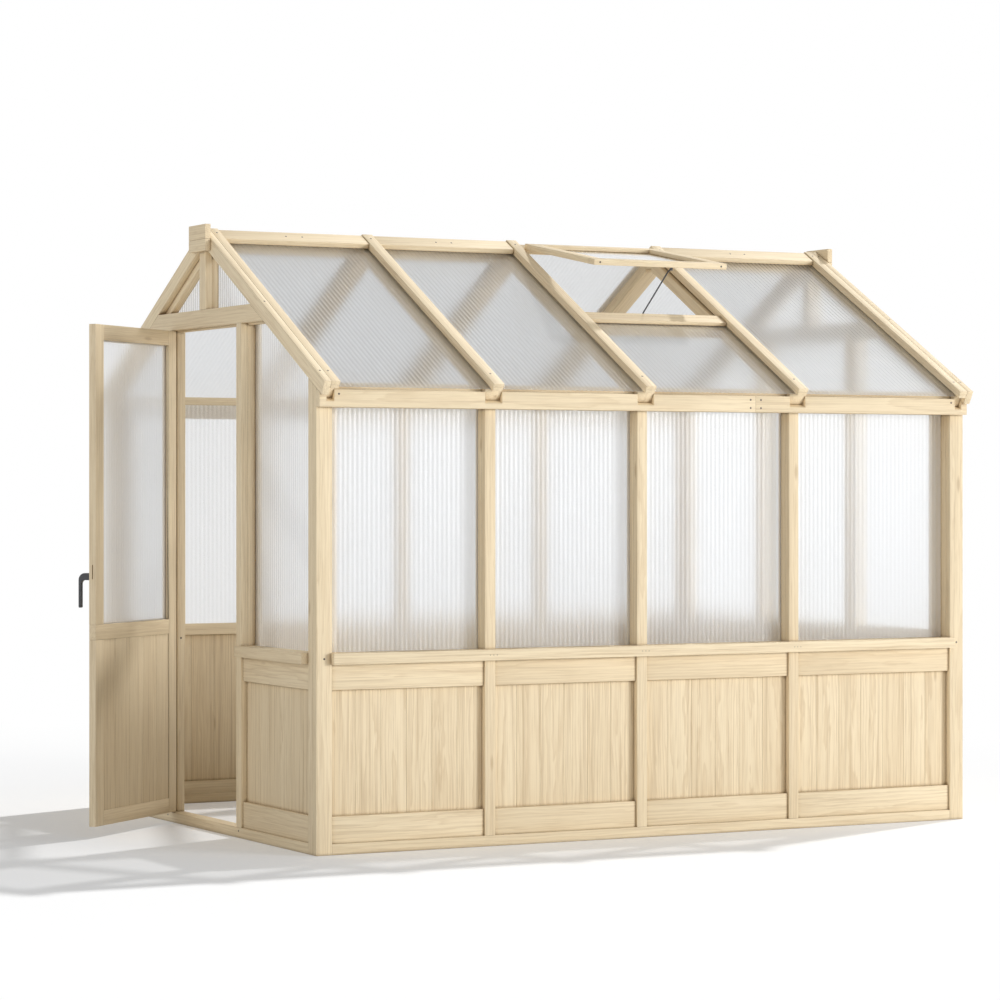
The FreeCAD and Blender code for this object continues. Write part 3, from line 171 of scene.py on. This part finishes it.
class Shader:
    """The node tree of a material or a world, built by short calls."""

    def __init__(self, owner):
        self.owner = owner
        self.owner.use_nodes = True
        self.tree = self.owner.node_tree
        self.tree.nodes.clear()
        self.out = self.node("OutputWorld" if isinstance(owner, bpy.types.World) else "OutputMaterial")

    def node(self, kind, **settings):
        made = self.tree.nodes.new(f"ShaderNode{kind}")
        for key, value in settings.items():
            setattr(made, key, value)
        return made

    def put(self, socket, value):
        """Link an output to a socket, or set its plain value."""
        if isinstance(value, bpy.types.NodeSocket):
            self.tree.links.new(value, socket)
        elif isinstance(value, tuple) and len(value) == 3 and socket.type == "RGBA":
            socket.default_value = (*value, 1)
        else:
            socket.default_value = value

    def shader(self, kind, **values):
        """Shader node with values for its inputs, whose names have _ for a space; gives its output."""
        made = self.node(kind)
        for name, value in values.items():
            self.put(made.inputs[name.replace("_", " ")], value)
        return made.outputs[0]

    def math(self, operation, *values):
        made = self.node("Math", operation=operation)
        for socket, value in zip(made.inputs, values):
            self.put(socket, value)
        return made.outputs[0]

    def mix(self, factor, first, second):
        """Mix two colours."""
        made = self.node("Mix", data_type="RGBA")
        self.put(made.inputs[0], factor)
        self.put(made.inputs[6], first)
        self.put(made.inputs[7], second)
        return made.outputs[2]

    def blend(self, factor, first, second):
        """Mix two shaders."""
        made = self.node("MixShader")
        for socket, value in zip(made.inputs, (factor, first, second)):
            self.put(socket, value)
        return made.outputs[0]

    def split(self, vector):
        made = self.node("SeparateXYZ")
        self.put(made.inputs[0], vector)
        return made.outputs

    def scaled(self, vector, scale):
        made = self.node("VectorMath", operation="MULTIPLY")
        self.put(made.inputs[0], vector)
        made.inputs[1].default_value = scale
        return made.outputs[0]

    def direction(self, first, second):
        """Unit vector along the sum of two vectors."""
        made = self.node("VectorMath", operation="ADD")
        self.put(made.inputs[0], first)
        self.put(made.inputs[1], second)
        unit = self.node("VectorMath", operation="NORMALIZE")
        self.put(unit.inputs[0], made.outputs[0])
        return unit.outputs[0]

    def noise(self, vector, scale=1, detail=3, roughness=0.5):
        made = self.node("TexNoise")
        self.put(made.inputs["Vector"], vector)
        made.inputs["Scale"].default_value = scale
        made.inputs["Detail"].default_value = detail
        made.inputs["Roughness"].default_value = roughness
        return made.outputs["Fac"]

    def ramp(self, factor, low, high, to_low=0, to_high=1):
        """Straight ramp of a value from one range to another, clamped."""
        made = self.node("MapRange")
        for socket, value in zip(made.inputs, (factor, low, high, to_low, to_high)):
            self.put(socket, value)
        return made.outputs[0]

    def bump(self, height, strength, distance):
        made = self.node("Bump")
        made.inputs["Strength"].default_value = strength
        made.inputs["Distance"].default_value = distance
        self.put(made.inputs["Height"], height)
        return made.outputs[0]

    def finish(self, surface):
        self.put(self.out.inputs["Surface"], surface)
        return self.owner


# Materials

def wood(name, contrast):
    """Softwood: rings round a pith beside the board, long fibres, a tone for each board, and painted shade
    where timbers meet.
    """
    s = Shader(bpy.data.materials.new(name))
    place = s.node("Attribute", attribute_name="grain").outputs["Vector"]
    tone = s.node("Attribute", attribute_name="tone").outputs["Fac"]
    drift = s.noise(s.scaled(place, DRIFT), detail=2)
    wander = s.noise(s.scaled(place, WANDER), roughness=0.6)
    axes = s.split(place)
    across = s.math("ADD", axes["Y"], s.math("MULTIPLY", drift, RING_DRIFT))
    square = s.math("POWER", across, 2)
    radius = s.math("SQRT", s.math("ADD", square, s.math("POWER", axes["Z"], 2)))
    rings = s.math("ADD", s.math("MULTIPLY", radius, RINGS), s.math("MULTIPLY", wander, RING_WANDER))
    saw = s.math("FRACT", rings)
    late = s.math("MULTIPLY", s.math("POWER", saw, LATE_WOOD), s.ramp(saw, 1.0, 0.9))
    fibre = s.noise(s.scaled(place, FIBRES), detail=4, roughness=0.65)
    streak = s.noise(s.scaled(place, STREAKS), roughness=0.6)
    knots = s.node("TexVoronoi", feature="F1")
    s.put(knots.inputs["Vector"], s.scaled(place, KNOTS))
    knots.inputs["Scale"].default_value = 1
    # Painted shade: ambient occlusion darkens the colour where timbers meet and in recesses, for camera rays
    # only
    painted_shade_ao = s.node("AmbientOcclusion", samples=6)
    painted_shade_ao.inputs["Distance"].default_value = PAINTED_SHADE_REACH
    direct = s.node("LightPath").outputs["Is Camera Ray"]
    marks = (
        (late, contrast, MID_WOOD),
        (s.ramp(streak, *STREAK_RANGE), STREAK_SHARE*contrast, DARK_WOOD),
        (s.ramp(fibre, *FIBRE_RANGE), FIBRE_SHARE, DARK_WOOD),
        (s.ramp(knots.outputs["Distance"], *KNOT_RANGE), KNOT_SHARE, DARK_WOOD),
        (tone, TONE_SHARE, MID_WOOD),
        (s.ramp(painted_shade_ao.outputs["AO"], *PAINTED_SHADE_RANGE, 0, PAINTED_SHADE_SHARE), direct, JOINT_SHADE),
    )
    colour = PALE_WOOD
    for mark, strength, darker in marks:
        colour = s.mix(s.math("MULTIPLY", mark, strength), colour, darker)
    return s.finish(s.shader(
        "BsdfPrincipled",
        Base_Color=colour,
        Roughness=s.ramp(fibre, 0.3, 0.7, 0.56, 0.72),
        Normal=s.bump(fibre, 0.22, 0.0006),
        Specular_IOR_Level=0.3,
    ))


def sheet():
    """Milky clear plastic: ribs are milkier, the gaps blur what is behind, and lamps shine through.

    Sheets that face upward are painted greyer, as painted shade, and let a little more show through. The
    surface is tilted at random up and down, so that the view through it is drawn out along the flutes.
    """
    s = Shader(bpy.data.materials.new("fluted_sheet"))
    rib = s.node("Attribute", attribute_name="flute").outputs["Fac"]
    facing = s.node("LayerWeight").outputs["Facing"]
    surface = s.node("NewGeometry")
    slope = s.math("ABSOLUTE", s.split(surface.outputs["True Normal"])["Z"])
    # Painted shade: the more a sheet faces upward, the greyer its colour
    slope_shade = s.ramp(slope, *SLOPE_SHADE_RANGE)
    colour = s.mix(slope_shade, CLEAN_SHEET, SLOPE_SHADED_SHEET)
    milk = s.shader("BsdfDiffuse", Color=colour)
    glow = s.shader("BsdfTranslucent", Color=colour)
    milky = s.blend(s.ramp(facing, *ANGLE_RANGE, *GLOW_SHARES), milk, glow)
    share = s.math("ADD", s.ramp(slope_shade, 0, 1, *MILK_SHARES), s.math("MULTIPLY", rib, RIB_MILK))
    throw = s.node("TexWhiteNoise", noise_dimensions="3D")
    s.put(throw.inputs["Vector"], surface.outputs["Position"])
    either_way = s.math("SUBTRACT", throw.outputs["Value"], 0.5)
    upward = s.node("CombineXYZ")
    s.put(upward.inputs["Z"], s.math("MULTIPLY", either_way, s.ramp(facing, *ANGLE_RANGE, *TILTS)))
    blur = s.shader(
        "BsdfGlass",
        Color=BLUR_TINT,
        Roughness=BLUR_ROUGHNESS,
        IOR=BLUR_IOR,
        Normal=s.direction(surface.outputs["Normal"], upward.outputs[0]),
    )
    gloss = s.shader("BsdfGlossy", Roughness=SHINE_ROUGHNESS)
    shine = s.math("MULTIPLY", s.node("Fresnel").outputs[0], SHINE)
    front = s.blend(shine, s.blend(share, blur, milky), gloss)
    seen = s.blend(surface.outputs["Backfacing"], front, blur)
    path = s.node("LightPath").outputs
    clear = s.shader("BsdfTransparent", Color=s.mix(path["Is Shadow Ray"], BOUNCED_LIGHT, LAMP_LIGHT))
    lamp_ray = s.math("MAXIMUM", path["Is Shadow Ray"], path["Is Diffuse Ray"])
    return s.finish(s.blend(lamp_ray, seen, clear))


def metal(name, colour, metallic, low, high):
    """Metal whose gloss varies in small patches, between a low and a high roughness."""
    s = Shader(bpy.data.materials.new(name))
    place = s.node("TexCoord").outputs["Object"]
    patches = s.noise(place, PATCHES, detail=4, roughness=0.6)
    worn = s.noise(place, WEAR, detail=2)
    lighter = tuple(min(1, channel*1.5 + 0.02) for channel in colour)
    return s.finish(s.shader(
        "BsdfPrincipled",
        Base_Color=s.mix(s.math("MULTIPLY", patches, 0.5), colour, lighter),
        Metallic=metallic,
        Roughness=s.ramp(patches, 0.3, 0.7, low, high),
        Normal=s.bump(worn, 0.1, 0.0002),
    ))


MATERIALS = {
    "timber": wood("planed_timber", 0.6),
    "cladding": wood("boarding", 0.85),
    "glazing": sheet(),
    "black_metal": metal("black_paint", BLACK_PAINT, 0.0, 0.32, 0.48),
    # Screws: dark steel, partly painted shade that stands in for their shadowed recesses
    "dark_steel": metal("dark_screws_and_recess_shade", SCREW_STEEL_AND_RECESS_SHADE, 0.6, 0.4, 0.6),
    "zinc": metal("zinc_plate", ZINC, 0.9, 0.3, 0.5),
}


# Pieces

def solids_of(mesh):
    """Polygons of each closed solid of a mesh, as lists of corner points."""
    groups, faces, open_edges = [], [], set()
    for polygon in mesh.polygons:
        points = [tuple(round(c, POINT_DIGITS) for c in mesh.vertices[i].co) for i in polygon.vertices]
        faces.append(points)
        for a, b in zip(points, points[1:] + points[:1]):
            open_edges ^= {(min(a, b), max(a, b))}
        if not open_edges:
            groups.append(faces)
            faces = []
    return groups


def bmesh_of(faces):
    """Welded copy of one solid, with its flat faces made whole."""
    made = bmesh.new()
    corners = {}
    for points in faces:
        for point in points:
            if point not in corners:
                corners[point] = made.verts.new(point)
        made.faces.new([corners[point] for point in points])
    made.normal_update()
    flat = math.radians(FLAT_FACES)
    bmesh.ops.dissolve_limit(made, angle_limit=flat, verts=made.verts, edges=made.edges)
    return made


def middle_of(made):
    return sum((v.co for v in made.verts), Vector())/len(made.verts)


def add_values(mesh, name, kind, values):
    """Store a value for each point of a mesh, for its material to read."""
    data = mesh.attributes.new(name, kind, "POINT").data
    if kind == "FLOAT_VECTOR":
        data.foreach_set("vector", [c for point in values for c in point])
    else:
        data.foreach_set("value", values)


def add_piece(name, mesh, node, smooth):
    """Show a mesh in the place of its CAD node; faces that meet below the angle smooth are shaded as one."""
    mesh.shade_smooth()
    mesh.set_sharp_from_angle(angle=math.radians(smooth))
    mesh.materials.append(MATERIALS[slots[node]])
    piece = bpy.data.objects.new(name, mesh)
    scene.collection.objects.link(piece)
    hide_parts(node)
    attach(piece, nodes[node]["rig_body"])


def timber_piece(node):
    """The node's timbers with eased edges, each with its own stretch of grain along its length."""
    mesh = bpy.data.meshes.new(f"{node}_wood")
    points, faces, grain, tones = [], [], [], []
    for solid in solids_of(nodes[node].data):
        made = bmesh_of(solid)
        edge = max(made.edges, key=lambda e: e.calc_length())
        along = (edge.verts[1].co - edge.verts[0].co).normalized()
        side = along.cross(ODD_DIRECTION).normalized()
        third = along.cross(side)
        middle = middle_of(made)
        sharp = [e for e in made.edges if e.calc_face_angle(0) > math.radians(SHARP_EDGE)]
        bmesh.ops.bevel(
            made,
            geom=sharp,
            offset=EASED_EDGE,
            segments=EASED_STEPS,
            profile=0.5,
            affect="EDGES",
            clamp_overlap=True,
        )
        start = chance.uniform(0, LOG_LENGTH)
        beside = chance.uniform(-PITH_ASIDE, PITH_ASIDE)
        below = chance.uniform(PITH_NEAR, PITH_FAR)
        tone = chance.random()
        first = len(points)
        made.verts.index_update()
        for vertex in made.verts:
            local = vertex.co - middle
            points.append(vertex.co[:])
            grain.append((local.dot(along) + start, local.dot(side) + beside, local.dot(third) + below))
            tones.append(tone)
        faces += [[first + v.index for v in face.verts] for face in made.faces]
        made.free()
    mesh.from_pydata(points, [], faces)
    add_values(mesh, "grain", "FLOAT_VECTOR", grain)
    add_values(mesh, "tone", "FLOAT", tones)
    add_piece(f"{node}_wood", mesh, node, SMOOTH_TIMBER)


def outline_heights(outline, across):
    """Lowest and highest point of a convex outline at a distance across it."""
    heights = []
    for (a, low), (b, high) in zip(outline, outline[1:] + outline[:1]):
        crosses = min(a, b) - ZERO_LENGTH <= across <= max(a, b) + ZERO_LENGTH
        if crosses and abs(a - b) > ZERO_LENGTH:
            heights.append(low + (high - low)*(across - a)/(b - a))
    return min(heights), max(heights)


def fluted_sheet(faces):
    """Points, faces and rib values of a sheet in the place of a flat one; its flutes run up the sheet."""
    made = bmesh_of(faces)
    large = max(made.faces, key=lambda face: face.calc_area())
    normal = large.normal.copy()
    run = (UP - normal*UP.dot(normal)).normalized()
    wide = run.cross(normal).normalized()
    centre = middle_of(made)
    outline = [((v.co - centre).dot(wide), (v.co - centre).dot(run)) for v in large.verts]
    made.free()
    left, right = min(a for a, _ in outline), max(a for a, _ in outline)
    columns = round((right - left)/FLUTE_PITCH*FLUTE_STEPS)
    stops = sorted({left + (right - left)*i/columns for i in range(columns + 1)} | {a for a, _ in outline})
    points, ribs = [], []
    for across in stops:
        inside = min(max(across, left + EDGE_INSET), right - EDGE_INSET)
        wave = math.cos(math.tau*(across - left)/FLUTE_PITCH)
        for height in outline_heights(outline, inside):
            for skin in (-SHEET_SKIN/2, SHEET_SKIN/2):
                points.append(centre + wide*across + run*height + normal*(FLUTE_DEPTH*wave + skin))
                ribs.append(0.5 + 0.5*wave)
    quads = []
    last = len(points) - 4
    for a in range(0, last, 4):
        b = a + 4
        quads.append((a, b, b + 2, a + 2))
        quads.append((a + 1, a + 3, b + 3, b + 1))
        quads.append((a, a + 1, b + 1, b))
        quads.append((a + 2, b + 2, b + 3, a + 3))
    quads.append((0, 2, 3, 1))
    quads.append((last, last + 1, last + 3, last + 2))
    return points, quads, ribs


def sheet_piece(node):
    """The node's sheets, each with flutes over its whole width."""
    mesh = bpy.data.meshes.new(f"{node}_fluted")
    points, quads, ribs = [], [], []
    for solid in solids_of(nodes[node].data):
        made_points, made_quads, made_ribs = fluted_sheet(solid)
        quads += [[len(points) + i for i in quad] for quad in made_quads]
        points += made_points
        ribs += made_ribs
    mesh.from_pydata(points, [], quads)
    add_values(mesh, "flute", "FLOAT", ribs)
    add_piece(f"{node}_fluted", mesh, node, SMOOTH_SHEET)


for node_name, node_object in nodes.items():
    if slots[node_name] == "glazing":
        sheet_piece(node_name)
    elif slots[node_name] in ("timber", "cladding"):
        timber_piece(node_name)
    else:
        for slot in node_object.material_slots:
            slot.material = MATERIALS[slots[node_name]]


# Floor, light and camera

def floor():
    """White floor: a little lighter to the camera, and far from the object as white as what is behind it."""
    mesh = bpy.data.meshes.new("floor")
    corners = [(x*FLOOR_HALF, y*FLOOR_HALF, 0) for x, y in ((-1, -1), (1, -1), (1, 1), (-1, 1))]
    mesh.from_pydata(corners, [], [(0, 1, 2, 3)])
    s = Shader(bpy.data.materials.new("white_floor"))
    plain = s.shader("BsdfDiffuse", Color=FLOOR_GREY)
    near = s.shader("BsdfDiffuse", Color=WHITE)
    path = s.node("LightPath").outputs
    direct = s.math("MAXIMUM", path["Is Camera Ray"], path["Is Transmission Ray"])
    distance = s.node("VectorMath", operation="LENGTH")
    s.put(distance.inputs[0], s.node("NewGeometry").outputs["Position"])
    whiteness = s.ramp(distance.outputs["Value"], *FLOOR_WHITENS, NEAR_WHITENESS, 1)
    shown = s.blend(whiteness, near, s.shader("Emission"))
    mesh.materials.append(s.finish(s.blend(direct, plain, shown)))
    piece = bpy.data.objects.new("floor", mesh)
    piece.location.z = -FLOOR_DROP
    scene.collection.objects.link(piece)


def world():
    """White behind the object, and a soft dome of plain light on it."""
    scene.world = bpy.data.worlds.new("studio")
    s = Shader(scene.world)
    path = s.node("LightPath").outputs
    seen = s.math("MAXIMUM", path["Is Camera Ray"], path["Is Glossy Ray"])
    seen = s.math("MAXIMUM", seen, path["Is Transmission Ray"])
    dome = s.shader("Background", Color=DOME, Strength=DOME_STRENGTH)
    s.finish(s.blend(seen, dome, s.shader("Background", Color=WHITE)))


def lamp(kind, name, place, target, **settings):
    """Lamp at a place that shines towards a target."""
    data = bpy.data.lights.new(name, kind)
    for key, value in settings.items():
        setattr(data, key, value)
    made = bpy.data.objects.new(name, data)
    made.location = place
    made.rotation_euler = (Vector(target) - Vector(place)).to_track_quat("-Z", "Y").to_euler()
    scene.collection.objects.link(made)


def camera():
    """The photograph's view: level, 27.9 degrees off the square view of the long wall."""
    data = bpy.data.cameras.new("camera")
    data.lens = 118.3
    data.sensor_width = 36
    data.shift_y = -0.0125
    made = bpy.data.objects.new("camera", data)
    made.location = (-4.272, -10.132, 1.138)
    made.rotation_euler = (math.radians(90), 0, math.radians(-27.916))
    scene.collection.objects.link(made)
    scene.camera = made


floor()
world()
lamp("SUN", "sun", (7.67, 3.22, 10), (0, 0, 0), energy=2.0, angle=math.radians(2.5))
lamp("AREA", "softbox", (17, -18.5, 3.4), (0, 0, 1), shape="RECTANGLE", size=9, size_y=6, energy=3650)
lamp("AREA", "fill", (-16, -8, 5), (0, 0, 1), shape="SQUARE", size=9, energy=620)
camera()
